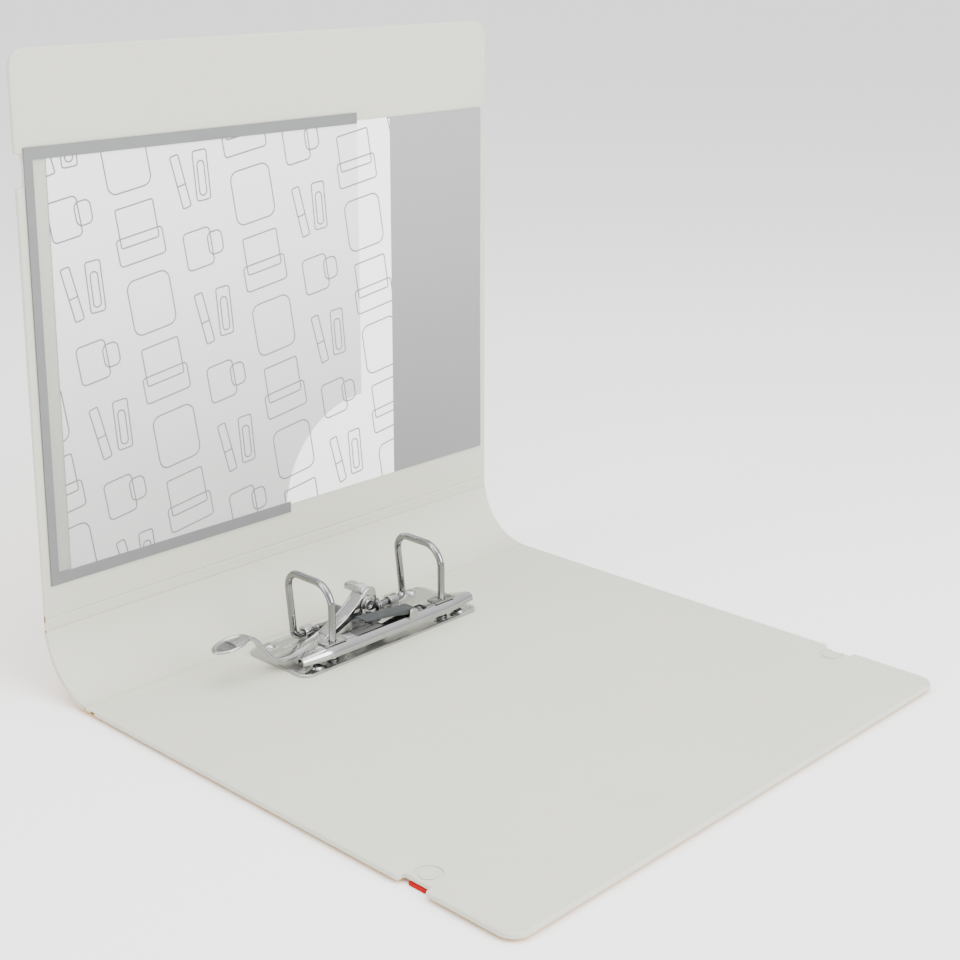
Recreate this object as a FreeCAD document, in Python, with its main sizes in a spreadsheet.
import FreeCAD, Part
import math
import os
import re
import Sketcher
from FreeCAD import Placement, Rotation, Vector

# A lever arch file, open: the rear cover lies flat, the curved spine rises from it,
# and the front cover stands upright. +X runs from the spine to the fore-edge of the
# rear cover, +Y from the foot of the file to its head, +Z up. The origin is the
# middle of the whole file's box, on the surface that it lies on. Millimetres.

SIZES = {
    # covers and spine
    "cover_height": 318.0,  # foot to head
    "cover_width": 285.0,  # crease to fore-edge
    "board_thick": 2.8,
    "spine_chord": 50.0,  # between the two creases
    "foot_gap": 1.6,  # rivet ends and stored band under the rear cover
    "corner_round": 9.0,
    "edge_round": 0.8,
    "crease_half": 3.35,  # crease to the edge of each board
    "crease_bead": 0.9,  # radius of the flexible bead on the crease
    "lip_thick": 1.0,
    "hinge_gap": 0.3,
    # band notches
    "notch_start": 220.0,  # from the crease
    "notch_length": 16.0,
    "notch_depth": 4.0,
    "notch_round": 1.2,
    # elastic band
    "band_width": 10.0,
    "band_thick": 0.5,
    "band_side_gap": 0.3,
    "band_store_gap": 0.2,  # stored band to the rivet flanges over it
    "tab_thick": 0.4,
    "anchor_inset": 10.0,  # band rivet from the head or foot edge
    "anchor_head": 4.2,
    "anchor_shank": 1.5,
    "anchor_recess": 6.5,
    "recess_depth": 0.5,
    # spine label
    "label_length": 109.0,
    "label_width": 40.0,
    "label_thick": 0.3,
    "label_from_head": 56.0,
    "label_round": 4.0,
    # document pocket and sheet
    "pocket_start": 20.0,  # from the front crease
    "pocket_reach": 219.0,
    "pocket_inset": 4.0,  # from the foot edge
    "pocket_length": 210.0,
    "thumb_cut": 55.0,  # radius of the cut at the open corner
    "pocket_film": 0.3,
    "pocket_depth": 0.8,
    "pocket_rim": 4.0,
    "sheet_length": 297.0,
    "sheet_width": 210.0,
    "sheet_thick": 0.3,
    "sheet_gap": 0.25,
    "sheet_inset": 16.0,  # from the foot edge
    # mechanism plate
    "plate_start": 4.0,  # from the rear crease
    "plate_width": 48.0,
    "plate_length": 128.0,
    "plate_thick": 1.2,
    "plate_round": 6.0,
    "boss_height": 0.8,
    "boss_width": 10.0,
    "boss_length": 15.0,
    "rivet_inset": 4.6,
    "rivet_spacing": 104.0,
    "rivet_shank": 2.0,
    "rivet_head": 3.4,
    "rivet_flange": 4.0,
    "rivet_gap": 0.1,
    "rivet_bite": 0.4,  # shank inside its domed head
    # arches
    "hole_spacing": 80.0,  # between the two arches
    "wire_radius": 2.0,
    "axis_from_crease": 15.0,
    "axis_height": 5.5,  # over the rear cover's inner face
    "arch_lean": 4.5,
    "arch_span": 31.0,  # journal to post
    "arch_height": 42.0,
    "seam_height": 33.0,
    "arch_rear_bend": 8.0,
    "arch_front_bend": 12.0,
    "foot_bend": 3.2,
    "seam_gap": 0.05,
    "crank_radius": 8.0,
    "crank_start": -22.0,
    "crank_end": -4.0,
    "crank_bend": 3.0,
    "bearing_offset": 31.0,
    "bearing_length": 6.0,
    "bearing_wall": 1.5,
    "bearing_gap": 0.08,
    "spring_wire": 0.55,
    "spring_pitch": 1.6,
    "spring_start": 4.0,
    "spring_length": 17.6,
    "post_collar": 3.2,
    "collar_height": 2.0,
    # lever
    "pivot_across": -6.0,  # along the file
    "pivot_from_crease": 31.5,
    "pivot_height": 20.0,
    "pin_radius": 2.0,
    "pin_gap": 0.06,
    "pin_head_over": 1.0,
    "pin_head_thick": 0.8,
    "lever_width": 8.8,
    "lever_wall": 1.2,
    "strap_thick": 1.8,
    "lever_side_gap": 0.4,
    "boss_side": 4.5,  # pin to the wall's edges
    "wall_rim": 2.0,  # wall past the strap and past the boss
    "strap_start": 15.5,  # pin to the strap's upper end
    "ear_thick": 1.0,
    "ear_radius": 5.0,
    "ear_foot": 14.0,
    "ear_toe": 2.0,
    "lever_end": 60.0,  # pivot to the low point of the strap
    "strap_low": 5.0,
    "pad_length": 22.0,
    "pad_width": 14.0,
    "pad_rise": 17.0,
    "neck_dip": 4.0,  # past the strap's low point, where it turns up
    "neck_rise": 12.0,  # where it turns level
    "neck_reach": 21.0,  # where it ends in the pad
    "pad_start": 15.0,
    "pad_shift": 4.0,
    "roller_arm": 10.0,
    "roller_angle": 55.0,
    "roller_radius": 3.0,
    "roller_length": 7.0,
    "roller_gap": 0.3,
    "roller_pin": 1.4,
    "roller_side_gap": 0.6,
    "roller_end_gap": 0.5,
    "head_tab_over": 6.0,
    "head_tab_width": 3.0,
    "head_tab_thick": 1.6,
    "head_tab_rise": 7.0,
    # compressor
    "bar_length": 124.0,
    "bar_width": 12.5,
    "bar_height": 6.0,
    "bar_lift": 6.0,
    "bar_wall": 1.2,
    "bar_crown": 4.5,
    "bar_tip": 18.0,
    "bar_tip_width": 6.0,
    "post_gap": 0.4,
    "clip_length": 14.0,
    "clip_width": 8.0,
    "clip_thick": 0.8,
    "latch_length": 38.0,
    "latch_width": 8.0,
    "latch_rise": 5.0,
    "latch_tip": 1.3,
    "latch_pivot": 14.0,
    "latch_pin": 1.0,
    "latch_ear": 1.2,
    "latch_ear_width": 6.0,
    "latch_ear_wall": 0.8,  # round the latch pin
    "latch_side_gap": 0.3,
    "latch_heel": 4.0,  # behind the latch pin
    "latch_neck": 10.0,  # flat underside, back from the heel
}

# Sizes that follow from the driving ones, each written once.
DERIVED = {
    "spine_mid": "(spine_chord / sqrt(2))",
    "spine_outer": "(spine_mid + board_thick / 2)",
    "spine_inner": "(spine_mid - board_thick / 2)",
    "crease_x": "((spine_outer - cover_width) / 2)",
    "crease_z": "(foot_gap + board_thick / 2)",
    "spine_z": "(crease_z + spine_mid)",
    "front_x": "(crease_x - spine_outer)",
    "front_inner": "(crease_x - spine_inner)",
    "inner_z": "(foot_gap + board_thick)",
    "half_height": "(cover_height / 2)",
    "crease_turn": "(crease_half / spine_mid * 180 / pi)",
    "lip_start": "(crease_bead + hinge_gap)",
    "anchor_x": "(crease_x + notch_start + notch_length / 2)",
    "anchor_y": "(half_height - anchor_inset)",
    "band_z": "(foot_gap - tab_thick * 2 - band_store_gap - band_thick)",
    "band_reach": "(half_height - notch_depth + band_side_gap + band_thick)",
    "axis_x": "(crease_x + axis_from_crease)",
    "axis_z": "(inner_z + axis_height)",
    "post_x": "(axis_x + arch_span)",
    "plate_z": "(inner_z + plate_thick)",
    "seam_z": "(inner_z + seam_height)",
    "half_spacing": "(hole_spacing / 2)",
    "pivot_x": "(crease_x + pivot_from_crease)",
    "pivot_z": "(inner_z + pivot_height)",
    "roller_y": "(pivot_across - roller_arm * sin(roller_angle * 1deg))",
    "roller_z": "(pivot_z - roller_arm * cos(roller_angle * 1deg))",
    "crank_z": "(roller_z - roller_radius - wire_radius - roller_gap)",
    "bar_x": "(post_x - bar_width / 2)",
    "bar_z": "(inner_z + bar_lift)",
    "bar_top": "(bar_z + bar_height)",
    "latch_z": "(bar_top + latch_pin + latch_ear_wall)",
}

doc = FreeCAD.newDocument("lever_arch_file")
sheet = doc.addObject("Spreadsheet::Sheet", "Sizes")
for row, (alias, number) in enumerate(SIZES.items(), start=1):
    sheet.set(f"A{row}", alias)
    sheet.set(f"B{row}", str(number))
    sheet.setAlias(f"B{row}", alias)
doc.recompute()
parts = []


def expand(text):
    """The text with each derived name written out, so that only driving sizes are left."""
    while True:
        longer = re.sub(r"[a-z_]+", lambda m: DERIVED.get(m.group(0), m.group(0)), str(text))
        if longer == text:
            return str(text)
        text = longer


def bound(text):
    """The text as an expression that reads the sheet."""
    def cell(match):
        return f"Sizes.{match.group(0)}" if match.group(0) in SIZES else match.group(0)

    return re.sub(r"[a-z_]+", cell, expand(text))


def value(text):
    """The text's value now, in millimetres or degrees."""
    result = sheet.evalExpression(expand(text))
    return float(getattr(result, "Value", result))


def bind(feature, **sizes):
    """Sets each property to its text's value and ties it to the sheet."""
    for name, text in sizes.items():
        setattr(feature, name, value(text))
        feature.setExpression(name, bound(text))
    return feature


def place(feature, x=0, y=0, z=0, turn=Rotation()):
    """Puts the feature at a point that follows the sheet, turned by a fixed rotation."""
    feature.Placement = Placement(Vector(value(x), value(y), value(z)), turn)
    for axis, text in (("x", x), ("y", y), ("z", z)):
        feature.setExpression(f"Placement.Base.{axis}", bound(text))
    return feature


def named(feature, label):
    """Marks the feature as a sub-part that is written out under its label."""
    feature.Label = label
    parts.append(feature)
    return feature


def cylinder(name, radius, height, x=0, y=0, z=0, turn=Rotation()):
    return place(bind(doc.addObject("Part::Cylinder", name), Radius=radius, Height=height), x, y, z, turn)


def box(name, length, width, height, x=0, y=0, z=0, turn=Rotation()):
    made = bind(doc.addObject("Part::Box", name), Length=length, Width=width, Height=height)
    return place(made, x, y, z, turn)


def fuse(name, shapes):
    made = doc.addObject("Part::MultiFuse", name)
    made.Shapes = shapes
    return made


def cut(name, base, tool):
    made = doc.addObject("Part::Cut", name)
    made.Base = base
    made.Tool = tool
    return made


def group(name, shapes):
    made = doc.addObject("Part::Compound", name)
    made.Links = shapes
    return made


ALONG_X = Rotation(Vector(0, 1, 0), 90)
ALONG_Y = Rotation(Vector(1, 0, 0), -90)


def profile(body, name, plane, corners):
    """A closed sketch on one of the body's origin planes; each corner follows the sheet."""
    sketch = body.newObject("Sketcher::SketchObject", name)
    origin_plane = next(f for f in body.Origin.OriginFeatures if f.Role == plane)
    sketch.AttachmentSupport = (origin_plane, [""])
    sketch.MapMode = "FlatFace"
    spots = [Vector(value(a), value(b), 0) for a, b in corners]
    for start, end in zip(spots, spots[1:] + spots[:1]):
        sketch.addGeometry(Part.LineSegment(start, end), False)
    count = len(corners)
    for i in range(count):
        sketch.addConstraint(Sketcher.Constraint("Coincident", i, 2, (i + 1) % count, 1))
    for i, (a, b) in enumerate(corners):
        for kind, text in (("DistanceX", a), ("DistanceY", b)):
            added = sketch.addConstraint(Sketcher.Constraint(kind, -1, 1, i, 1, value(text)))
            sketch.setExpression(f"Constraints[{added}]", bound(text))
    return sketch


def pad(body, sketch, length, name="Pad"):
    made = body.newObject("PartDesign::Pad", name)
    made.Profile = sketch
    bind(made, Length=length)
    doc.recompute()
    return made


def round_edges(body, base, radius, wanted, name="Fillet"):
    """Rounds the base feature's edges that the test picks."""
    doc.recompute()
    picked = [f"Edge{i}" for i, edge in enumerate(base.Shape.Edges, start=1) if wanted(edge)]
    made = body.newObject("PartDesign::Fillet", name)
    made.Base = (base, picked)
    bind(made, Radius=radius)
    doc.recompute()
    return made


def upright(edge):
    return edge.BoundBox.ZLength > 0.9 * edge.Length


def bent_path(corners, radii):
    """A wire of straight runs joined by tangent arcs; radii are those of the inner corners."""
    edges = []
    start = corners[0]
    for before, corner, after, radius in zip(corners, corners[1:], corners[2:], radii):
        back = (before - corner).normalize()
        ahead = (after - corner).normalize()
        half = math.acos(max(-1.0, min(1.0, back.dot(ahead)))) / 2
        reach = radius / math.tan(half)
        middle = (back + ahead).normalize()
        centre = corner + middle * (radius / math.sin(half))
        arc_start = corner + back * reach
        arc_end = corner + ahead * reach
        edges.append(Part.LineSegment(start, arc_start).toShape())
        edges.append(Part.Arc(arc_start, centre - middle * radius, arc_end).toShape())
        start = arc_end
    edges.append(Part.LineSegment(start, corners[-1]).toShape())
    return Part.Wire(edges)


def round_wire(path, radius):
    """A solid round wire along the path."""
    first = path.Edges[0]
    start = first.valueAt(first.FirstParameter)
    section = Part.Circle(start, first.tangentAt(first.FirstParameter), radius)
    return path.makePipe(Part.Face(Part.Wire(section.toShape())))


# ---------------------------------------------------------------- covers
# Both boards have one shape: a plain rectangle with two rounded corners at the
# fore-edge, a notch for the band in the head and foot edges, and a thin lip that
# runs to the crease. Local x is the distance from the crease, local z the depth
# from the outer face.

def cover_board(name):
    body = doc.addObject("PartDesign::Body", name)
    low = "-half_height"
    dip = "-half_height + notch_depth"
    stop = "notch_start + notch_length"
    foot_side = [("crease_half", low), ("notch_start", low), ("notch_start", dip), (stop, dip), (stop, low)]
    foot_side.append(("cover_width", low))
    head_side = [(x, f"-({y})") for x, y in reversed(foot_side)]
    board = pad(body, profile(body, "Outline", "XY_Plane", foot_side + head_side), "board_thick")
    far = value("cover_width")
    near = value("crease_half")
    corners = round_edges(
        body, board, "corner_round", lambda e: upright(e) and e.CenterOfMass.x > far - 0.1, "Corners"
    )
    notches = round_edges(
        body, corners, "notch_round",
        lambda e: upright(e) and near + 1 < e.CenterOfMass.x < value("notch_start + notch_length") + 1,
        "NotchCorners",
    )
    round_edges(body, notches, "edge_round", lambda e: e.BoundBox.ZLength < 0.01, "Edges")
    lip = body.newObject("PartDesign::AdditiveBox", "Lip")
    bind(lip, Length="crease_half + edge_round - lip_start", Width="cover_height", Height="lip_thick")
    place(lip, "lip_start", "-half_height", "board_thick / 2 - lip_thick / 2")
    doc.recompute()
    return body


def drill(body, name, radius, depth, x, y, z):
    hole = body.newObject("PartDesign::SubtractiveCylinder", name)
    bind(hole, Radius=radius, Height=depth)
    place(hole, x, y, z)
    doc.recompute()


rear_cover = cover_board("RearCover")
rivet_places = [
    (f"plate_start + {x}", f"{sign}rivet_spacing / 2")
    for x in ("rivet_inset", "plate_width - rivet_inset")
    for sign in ("-", "")
]
for number, (x, y) in enumerate(rivet_places):
    drill(rear_cover, f"RivetHole{number}", "rivet_shank + rivet_gap", "board_thick", x, y, 0)
for number, sign in enumerate(("-", "")):
    across = f"{sign}anchor_y"
    drill(rear_cover, f"AnchorHole{number}", "anchor_shank + rivet_gap", "board_thick",
          "anchor_x - crease_x", across, 0)
    drill(rear_cover, f"AnchorRecess{number}", "anchor_recess", "recess_depth",
          "anchor_x - crease_x", across, "board_thick - recess_depth")
named(place(rear_cover, "crease_x", 0, "foot_gap"), "rear_cover")

STANDING = Rotation(Vector(1, 0, 1), 180)  # local x up, local z towards the rear cover
front_cover = cover_board("FrontCover")
named(place(front_cover, "front_x", 0, "spine_z", STANDING), "front_cover")


# ---------------------------------------------------------------- spine
# The spine board is a quarter round between the two creases. Its local x axis
# points straight down from the centre of the curve, and it turns towards the
# front cover.

SPINE_TURN = Rotation(Vector(0, 0, -1), Vector(-1, 0, 0), Vector(0, 1, 0), "XYZ")


def spine_sector(name, outer, inner, start, sweep, length, y):
    """A curved strip: from start, in degrees from straight down, through sweep degrees."""
    pieces = []
    for side, radius, spread in (("Outer", outer, sweep), ("Inner", inner, sweep)):
        solid = doc.addObject("Part::Cylinder", name + side)
        bind(solid, Radius=radius, Height=length, Angle=spread)
        solid.Placement = Placement(Vector(0, 0, 0), Rotation(Vector(0, 0, 1), value(start)))
        solid.setExpression("Placement.Rotation.Angle", bound(start))
        pieces.append(solid)
    strip = cut(name, *pieces)
    return place(strip, "crease_x", y, "spine_z", SPINE_TURN)


named(
    spine_sector("SpinePanel", "spine_outer", "spine_inner", "crease_turn", "90 - 2 * crease_turn",
                 "cover_height", "-half_height"),
    "spine_panel",
)

for name, label, start, x, z in (
    ("RearCrease", "rear_crease", "0", "crease_x", "crease_z"),
    ("FrontCrease", "front_crease", "90 - crease_turn", "crease_x - spine_mid", "spine_z"),
):
    strip = spine_sector(name + "Strip", "spine_mid + lip_thick / 2", "spine_mid - lip_thick / 2",
                         start, "crease_turn", "cover_height", "-half_height")
    bead = cylinder(name + "Bead", "crease_bead", "cover_height", x, "-half_height", z, ALONG_Y)
    named(fuse(name, [strip, bead]), label)

label_blank = spine_sector(
    "LabelBlank", "spine_outer + label_thick", "spine_outer",
    "45 - label_width / spine_outer * 90 / pi", "label_width / spine_outer * 180 / pi",
    "label_length", "half_height - label_from_head - label_length",
)
doc.recompute()
spine_label = doc.addObject("Part::Fillet", "SpineLabel")
spine_label.Base = label_blank
spine_label.Edges = [
    (i, value("label_round"), value("label_round"))
    for i, edge in enumerate(label_blank.Shape.Edges, start=1)
    if edge.Length < value("label_thick") * 1.5
]
named(spine_label, "spine_label")


# ---------------------------------------------------------------- pocket and sheet
# A clear film pocket, welded to the front cover's inner face along three sides and
# open towards the head of the file, with an A4 sheet in it. Both are drawn on the
# standing cover, where local y runs from head to foot.

pocket = doc.addObject("PartDesign::Body", "DocumentPocket")
foot_rim = "half_height - pocket_inset"
open_side = f"{foot_rim} - pocket_length"
far_rim = "pocket_start + pocket_reach"
outline = [("pocket_start", foot_rim), ("pocket_start", open_side), (far_rim, open_side), (far_rim, foot_rim)]
pad(pocket, profile(pocket, "Outline", "XY_Plane", outline), "pocket_depth + pocket_film")
hollow = pocket.newObject("PartDesign::SubtractiveBox", "Hollow")
bind(hollow, Length="pocket_reach - 2 * pocket_rim", Width="pocket_length", Height="pocket_depth")
place(hollow, "pocket_start + pocket_rim", f"{open_side} - pocket_rim", 0)
doc.recompute()
drill(pocket, "ThumbCut", "thumb_cut", "pocket_depth + pocket_film", "pocket_start", open_side, 0)
named(place(pocket, "front_inner", 0, "spine_z", STANDING), "document_pocket")

insert_sheet = box(
    "InsertSheet", "sheet_width", "sheet_length", "sheet_thick",
    "front_inner + sheet_gap", "-half_height + sheet_inset + sheet_length",
    "spine_z + pocket_start + (pocket_reach - sheet_width) / 2", STANDING,
)
named(insert_sheet, "insert_sheet")


# ---------------------------------------------------------------- elastic band
# Each end of the band is riveted under the rear cover, near the head and the foot.
# With the file open the band is put away flat under the rear cover. It goes round
# the closed file through the notches.

anchor_heads = []
for number, sign in enumerate(("-", "")):
    across = f"{sign}anchor_y"
    head = cylinder(f"AnchorHead{number}", "anchor_head", "recess_depth",
                    "anchor_x", across, "inner_z - recess_depth")
    flange = cylinder(f"AnchorFlange{number}", "anchor_head", "tab_thick",
                      "anchor_x", across, "foot_gap - 2 * tab_thick")
    shank = cylinder(f"AnchorShank{number}", "anchor_shank", "board_thick + 2 * tab_thick - recess_depth / 2",
                     "anchor_x", across, "foot_gap - 2 * tab_thick")
    anchor_heads.append(fuse(f"Anchor{number}", [head, flange, shank]))
named(group("BandRivets", anchor_heads), "band_rivets")

tabs = []
for number, low in enumerate(("-band_reach", "anchor_y - band_width / 2")):
    tab = box(f"Tab{number}", "band_width", "band_reach - anchor_y + band_width / 2", "tab_thick",
              "anchor_x - band_width / 2", low, "foot_gap - tab_thick")
    hole = cylinder(f"TabHole{number}", "anchor_shank + rivet_gap", "board_thick",
                    "anchor_x", f"{'-' if number == 0 else ''}anchor_y", "foot_gap - board_thick / 2")
    tabs.append(cut(f"TabCut{number}", tab, hole))
named(group("BandTabs", tabs), "band_tabs")

span = box("BandSpan", "band_width", "2 * band_reach", "band_thick",
           "anchor_x - band_width / 2", "-band_reach", "band_z")
legs = [
    box(f"BandLeg{number}", "band_width", "band_thick", "foot_gap - tab_thick - band_z",
        "anchor_x - band_width / 2", low, "band_z")
    for number, low in enumerate(("-band_reach", "band_reach - band_thick"))
]
named(fuse("ElasticBand", [span] + legs), "elastic_band")


# ---------------------------------------------------------------- mechanism plate
plate = doc.addObject("PartDesign::Body", "BasePlate")
far_side = "plate_start + plate_width"
end = "plate_length / 2"
corners = [("plate_start", f"-{end}"), (far_side, f"-{end}"), (far_side, end), ("plate_start", end)]
blank = pad(plate, profile(plate, "Outline", "XY_Plane", corners), "plate_thick")
rounded = round_edges(plate, blank, "plate_round", upright, "Corners")
for number, (x, y) in enumerate(rivet_places):
    boss = plate.newObject("PartDesign::AdditiveCone", f"Boss{number}")
    bind(boss, Radius1="boss_width / 2", Radius2="boss_width / 2 - boss_height", Height="boss_height")
    place(boss, x, y, "plate_thick")
    doc.recompute()
for number, (x, y) in enumerate(rivet_places):
    drill(plate, f"RivetHole{number}", "rivet_shank + rivet_gap", "plate_thick + boss_height", x, y, 0)
named(place(plate, "crease_x", 0, "inner_z"), "base_plate")

rivets = []
for number, (x, y) in enumerate(rivet_places):
    across = f"crease_x + {x}"
    boss_top = "plate_z + boss_height"
    shank = cylinder(f"RivetShank{number}", "rivet_shank", f"{boss_top} + rivet_bite", across, y, 0)
    flange = cylinder(f"RivetFlange{number}", "rivet_flange", "foot_gap", across, y, 0)
    dome = bind(doc.addObject("Part::Sphere", f"RivetDome{number}"), Radius="rivet_head", Angle1="30")
    place(dome, across, y, f"{boss_top} - rivet_head / 2")
    rivets.append(fuse(f"Rivet{number}", [shank, flange, dome]))
named(group("MechanismRivets", rivets), "mechanism_rivets")

# Two saddles hold the straight runs of the arch wire down to the plate.
saddles = []
for number, sign in enumerate(("-", "")):
    start = f"{sign}bearing_offset - bearing_length / 2"
    outer = "wire_radius + bearing_gap + bearing_wall"
    block = box(f"SaddleBlock{number}", f"2 * ({outer})", "bearing_length", "axis_z - plate_z",
                f"axis_x - ({outer})", start, "plate_z")
    crown = cylinder(f"SaddleCrown{number}", outer, "bearing_length", "axis_x", start, "axis_z", ALONG_Y)
    bore = cylinder(f"SaddleBore{number}", "wire_radius + bearing_gap", "bearing_length",
                    "axis_x", start, "axis_z", ALONG_Y)
    saddles.append(cut(f"Saddle{number}", fuse(f"SaddleSolid{number}", [block, crown]), bore))
named(group("ArchBearings", saddles), "arch_bearings")

# The front posts stand on the plate, each with a staked collar.
for side, label, sign in (("Left", "left_post", "-"), ("Right", "right_post", "")):
    stem = cylinder(f"{side}Stem", "wire_radius", "seam_z - seam_gap - plate_z",
                    "post_x", f"{sign}half_spacing", "plate_z")
    collar = cylinder(f"{side}Collar", "post_collar", "collar_height",
                      "post_x", f"{sign}half_spacing", "plate_z")
    named(fuse(f"{side}Post", [stem, collar]), label)


# ---------------------------------------------------------------- arch wire
# One round steel wire makes both arches. It runs through the saddles, and between
# them it is bent into a crank, which the lever's roller holds down.

journal = Vector(value("axis_x"), 0, value("axis_z"))
post = Vector(value("post_x"), 0, value("seam_z"))
top = value("inner_z + arch_height")
crank_rise = value("crank_z - axis_z")
crank_out = math.sqrt(value("crank_radius") ** 2 - crank_rise ** 2)


def arch_corners(y):
    """From the free end down to the journal."""
    rear = journal.x - value("arch_lean")
    spots = [(post.x, post.z), (post.x, top), (rear, top), (journal.x, journal.z)]
    return [Vector(x, y, z) for x, z in spots]


def journal_corner(y):
    return Vector(journal.x, y, journal.z)


def crank_corner(y):
    return Vector(journal.x + crank_out, y, journal.z + crank_rise)


half_spacing = value("half_spacing")
crank_low = value("crank_start")
crank_high = value("crank_end")
wire_corners = arch_corners(-half_spacing)
wire_corners += [journal_corner(crank_low), crank_corner(crank_low), crank_corner(crank_high),
                 journal_corner(crank_high)]
wire_corners += list(reversed(arch_corners(half_spacing)))
arch_bends = [value("arch_front_bend"), value("arch_rear_bend"), value("foot_bend")]
wire_bends = arch_bends + [value("crank_bend")] * 4 + list(reversed(arch_bends))
arch_wire = doc.addObject("Part::Feature", "ArchWire")
arch_wire.Shape = round_wire(bent_path(wire_corners, wire_bends), value("wire_radius"))
named(arch_wire, "arch_wire")

# The torsion spring is a coil round the wire that rests on the plate.
coil_radius = value("axis_height - plate_thick - spring_wire")
coil = Part.makeHelix(value("spring_pitch"), value("spring_length"), coil_radius)
return_spring = doc.addObject("Part::Feature", "ReturnSpring")
return_spring.Shape = round_wire(Part.Wire(coil), value("spring_wire"))
place(return_spring, "axis_x", "spring_start", "axis_z", ALONG_Y)
named(return_spring, "return_spring")


# ---------------------------------------------------------------- lever
# The bracket's two ears hold the lever between them on a riveted pin.
ear_places = {
    "Inner": "pivot_x - lever_width / 2 - lever_side_gap - ear_thick",
    "Outer": "pivot_x + lever_width / 2 + lever_side_gap",
}
ears = []
for side, x in ear_places.items():
    ear = doc.addObject("PartDesign::Body", f"{side}Ear")
    rise = "pivot_z - plate_z"
    corners = [("-ear_toe", "0"), ("ear_foot", "0"), ("ear_radius", rise), ("-ear_radius", rise)]
    pad(ear, profile(ear, "Outline", "YZ_Plane", corners), "ear_thick")
    eye = ear.newObject("PartDesign::AdditiveCylinder", "Eye")
    bind(eye, Radius="ear_radius", Height="ear_thick")
    place(eye, 0, 0, rise, ALONG_X)
    doc.recompute()
    hole = ear.newObject("PartDesign::SubtractiveCylinder", "Hole")
    bind(hole, Radius="pin_radius", Height="ear_thick")
    place(hole, 0, 0, rise, ALONG_X)
    doc.recompute()
    ears.append(place(ear, x, "pivot_across", "plate_z"))
bridge = box("EarBridge", "lever_width + 2 * lever_side_gap + 2 * ear_thick", "ear_foot / 2", "ear_thick",
             ear_places["Inner"], "pivot_across + ear_foot / 2", "plate_z")
named(fuse("LeverBracket", ears + [bridge]), "lever_bracket")

pin_run = "lever_width + 2 * lever_side_gap + 2 * ear_thick"
pin = cylinder("PinShaft", "pin_radius", pin_run, ear_places["Inner"], "pivot_across", "pivot_z", ALONG_X)
pin_heads = [
    cylinder(f"PinHead{side}", "pin_radius + pin_head_over", "pin_head_thick", x,
             "pivot_across", "pivot_z", ALONG_X)
    for side, x in (("Inner", f"{ear_places['Inner']} - pin_head_thick"),
                    ("Outer", f"{ear_places['Outer']} + ear_thick"))
]
named(fuse("LeverPin", [pin] + pin_heads), "lever_pin")

# The lever is a pressed channel: two side walls round the pin, a top strap that
# dips to the plate's end and rises again, and an oval finger pad.
wall_outline = [
    ("-lever_end * 0.72", "strap_low + strap_thick"),
    ("-lever_end * 0.72", "strap_low"),
    ("-lever_end * 0.55", "strap_low + wall_rim / 4"),
    ("-boss_side", "pivot_height - boss_side"),
    ("boss_side", "pivot_height - boss_side"),
    ("boss_side + wall_rim", "pivot_height"),
    ("boss_side + wall_rim", "pivot_height + head_tab_rise"),
    ("wall_rim", "pivot_height + head_tab_rise + wall_rim"),
    ("-boss_side", "pivot_height + boss_side"),
    ("-strap_start", "pivot_height - boss_side"),
    ("-lever_end * 0.5", "strap_low + strap_thick + wall_rim"),
]
walls = []
for side, x in (("Inner", "pivot_x - lever_width / 2"), ("Outer", "pivot_x + lever_width / 2 - lever_wall")):
    wall = doc.addObject("PartDesign::Body", f"{side}Wall")
    pad(wall, profile(wall, "Outline", "YZ_Plane", wall_outline), "lever_wall")
    drill_hole = wall.newObject("PartDesign::SubtractiveCylinder", "Hole")
    bind(drill_hole, Radius="pin_radius + pin_gap", Height="lever_wall")
    place(drill_hole, 0, 0, "pivot_height", ALONG_X)
    doc.recompute()
    pin_hole = wall.newObject("PartDesign::SubtractiveCylinder", "RollerPinHole")
    bind(pin_hole, Radius="roller_pin", Height="lever_wall")
    place(pin_hole, 0, "roller_y - pivot_across", "roller_z - inner_z", ALONG_X)
    doc.recompute()
    walls.append(place(wall, x, "pivot_across", "inner_z"))

# The strap bends in one plane: down from the pin, along the plate, and up to the pad.
strap_low = value("strap_low")
pad_level = value("strap_low + pad_rise - strap_thick / 2")
reach = value("lever_end")
half_strap = value("strap_thick / 2")
strap_points = [
    Vector(0, -value("strap_start"), value("pivot_height - boss_side") - half_strap),
    Vector(0, -0.52 * reach, strap_low + 2.5 * half_strap),
    Vector(0, -0.75 * reach, strap_low + 0.7 * half_strap),
    Vector(0, -reach - value("neck_dip"), strap_low - 0.7 * half_strap),
    Vector(0, -reach - value("neck_rise"), pad_level),
    Vector(0, -reach - value("neck_reach"), pad_level),
]
strap_path = bent_path(strap_points, [22, 40, 9, 7])
strap_side = value("lever_width") / 2
run = (strap_points[1] - strap_points[0]).normalize()
edge = run.cross(Vector(1, 0, 0)) * half_strap
across = Vector(strap_side, 0, 0)
corners = [strap_points[0] + a * across + b * edge for a, b in ((-1, -1), (1, -1), (1, 1), (-1, 1), (-1, -1))]
strap = doc.addObject("Part::Feature", "Strap")
strap.Shape = strap_path.makePipe(Part.Face(Part.makePolygon(corners)))
place(strap, "pivot_x", "pivot_across", "inner_z")

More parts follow.
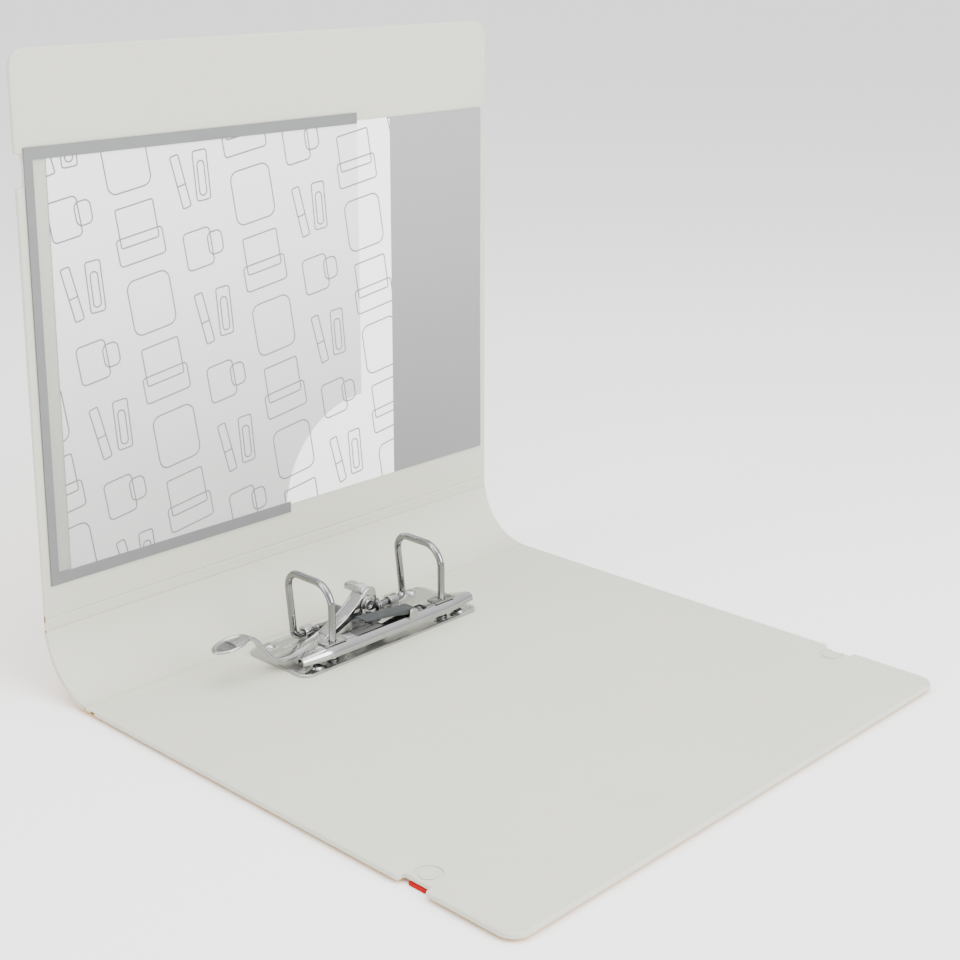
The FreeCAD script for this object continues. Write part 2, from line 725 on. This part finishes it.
finger_pad = bind(doc.addObject("Part::Ellipse", "PadOutline"), MajorRadius="pad_length / 2",
                  MinorRadius="pad_width / 2")
place(finger_pad, "pivot_x - pad_shift", "pivot_across - lever_end - pad_start - pad_length / 2",
      "inner_z + strap_low + pad_rise - strap_thick", Rotation(Vector(0, 0, 1), 90))
pad_face = doc.addObject("Part::Face", "PadFace")
pad_face.Sources = [finger_pad]
pad_plate = doc.addObject("Part::Extrusion", "PadPlate")
pad_plate.Base = pad_face
pad_plate.Dir = Vector(0, 0, 1)
pad_plate.Solid = True
bind(pad_plate, LengthFwd="strap_thick")

head_tab = box("HeadTab", "lever_width + head_tab_over", "head_tab_width", "head_tab_thick",
               "pivot_x - lever_width / 2 - head_tab_over", "pivot_across - head_tab_width / 2",
               "pivot_z + head_tab_rise")
named(fuse("Lever", walls + [strap, pad_plate, head_tab]), "lever")

roller_reach = "lever_side_gap + ear_thick + roller_side_gap + roller_length"  # past the lever's wall
roller_pin_start = f"pivot_x - lever_width / 2 - ({roller_reach})"
named(
    cylinder("RollerPin", "roller_pin", f"{roller_reach} + lever_wall", roller_pin_start,
             "roller_y", "roller_z", ALONG_X),
    "roller_pin",
)
roller_blank = cylinder("RollerBlank", "roller_radius", "roller_length - 2 * roller_end_gap",
                        f"{roller_pin_start} + roller_end_gap", "roller_y", "roller_z", ALONG_X)
roller_bore = cylinder("RollerBore", "roller_pin + pin_gap", "roller_length", roller_pin_start,
                       "roller_y", "roller_z", ALONG_X)
named(cut("LeverRoller", roller_blank, roller_bore), "lever_roller")


# ---------------------------------------------------------------- compressor
# A pressed channel with a crowned outer edge rides up and down on the two posts.
bar = doc.addObject("PartDesign::Body", "CompressorBar")
half_bar = "bar_length / 2"
inner_tip = "bar_width / 2 - bar_tip_width / 2"
bar_outline = [
    (inner_tip, f"-{half_bar}"),
    (f"{inner_tip} + bar_tip_width", f"-{half_bar}"),
    ("bar_width", f"-{half_bar} + bar_tip"),
    ("bar_width", f"{half_bar} - bar_tip"),
    (f"{inner_tip} + bar_tip_width", half_bar),
    (inner_tip, half_bar),
    ("0", f"{half_bar} - bar_tip"),
    ("0", f"-{half_bar} + bar_tip"),
]
bar_blank = pad(bar, profile(bar, "Outline", "XY_Plane", bar_outline), "bar_height")
crowned = round_edges(
    bar, bar_blank, "bar_crown",
    lambda e: e.CenterOfMass.z > value("bar_height") - 0.1
    and e.CenterOfMass.x > value("bar_width") - 0.1, "Crown",
)
channel = bar.newObject("PartDesign::SubtractiveBox", "Channel")
bind(channel, Length="bar_width - bar_wall - bar_crown", Width="bar_length - 2 * bar_tip",
     Height="bar_height - bar_wall")
place(channel, "bar_wall", f"-{half_bar} + bar_tip", 0)
doc.recompute()
for number, sign in enumerate(("-", "")):
    drill(bar, f"PostHole{number}", "wire_radius + post_gap", "bar_height",
          "bar_width / 2", f"{sign}half_spacing", 0)
place(bar, "bar_x", 0, "bar_z")
latch_wall = "post_x - latch_width / 2 - latch_side_gap - latch_ear"
latch_ears = [
    box(f"LatchEar{number}", "latch_ear", "latch_ear_width",
        "2 * latch_pin + 2 * latch_ear_wall + bar_crown", x,
        "latch_pivot - latch_ear_width / 2", "bar_top - bar_crown")
    for number, x in enumerate((latch_wall, "post_x + latch_width / 2 + latch_side_gap"))
]
ear_bore = cylinder("EarBore", "latch_pin", "bar_width * 2", "post_x - bar_width", "latch_pivot",
                    "latch_z", ALONG_X)
named(cut("Compressor", fuse("BarWithEars", [bar] + latch_ears), ear_bore), "compressor_bar")

clips = []
for number, sign in enumerate(("-", "")):
    clip = box(f"Clip{number}", "clip_width", "clip_length", "clip_thick", "post_x - clip_width / 2",
               f"{sign}half_spacing - clip_length / 2", "bar_top")
    clip_hole = cylinder(f"ClipHole{number}", "wire_radius + hinge_gap", "clip_thick * 2", "post_x",
                         f"{sign}half_spacing", "bar_top - clip_thick / 2")
    clips.append(cut(f"ClipCut{number}", clip, clip_hole))
named(group("PostClips", clips), "post_clips")

named(
    cylinder("LatchPin", "latch_pin", "latch_width + 2 * latch_ear + 2 * latch_side_gap",
             latch_wall, "latch_pivot", "latch_z", ALONG_X),
    "latch_pin",
)

# The locking latch is a moulded wedge, thick at its pivot and lifted at its tip.
wedge = doc.addObject("PartDesign::Body", "LatchWedge")
tip = "latch_heel - latch_length"
wedge_outline = [
    (tip, "latch_rise"),
    (tip, "latch_rise - latch_tip"),
    ("-latch_heel - latch_neck", "latch_pin / 2"),
    ("-latch_heel", "-latch_pin - latch_ear_wall / 2"),
    ("latch_heel - latch_pin", "-latch_pin - latch_ear_wall / 2"),
    ("latch_heel", "latch_pin / 2"),
    ("latch_heel / 2", "latch_pin + latch_ear_wall"),
]
pad(wedge, profile(wedge, "Outline", "YZ_Plane", wedge_outline), "latch_width")
drill_hole = wedge.newObject("PartDesign::SubtractiveCylinder", "Hole")
bind(drill_hole, Radius="latch_pin + pin_gap", Height="latch_width")
place(drill_hole, 0, 0, 0, ALONG_X)
named(place(wedge, "post_x - latch_width / 2", "latch_pivot", "latch_z"), "compressor_latch")


# ---------------------------------------------------------------- write the sub-parts
doc.recompute()
for feature in doc.Objects:
    if {"Invalid", "Error"} & set(feature.State):
        raise RuntimeError(f"{feature.Label} failed: {feature.State}")
os.makedirs("parts", exist_ok=True)
for feature in parts:
    if feature.Shape.isNull() or not feature.Shape.isValid() or not feature.Shape.Solids:
        raise RuntimeError(f"{feature.Label} is not a valid solid")
    feature.Shape.exportStep(f"parts/{feature.Label}.step")
    print(feature.Label, len(feature.Shape.Solids), round(feature.Shape.Volume, 1))
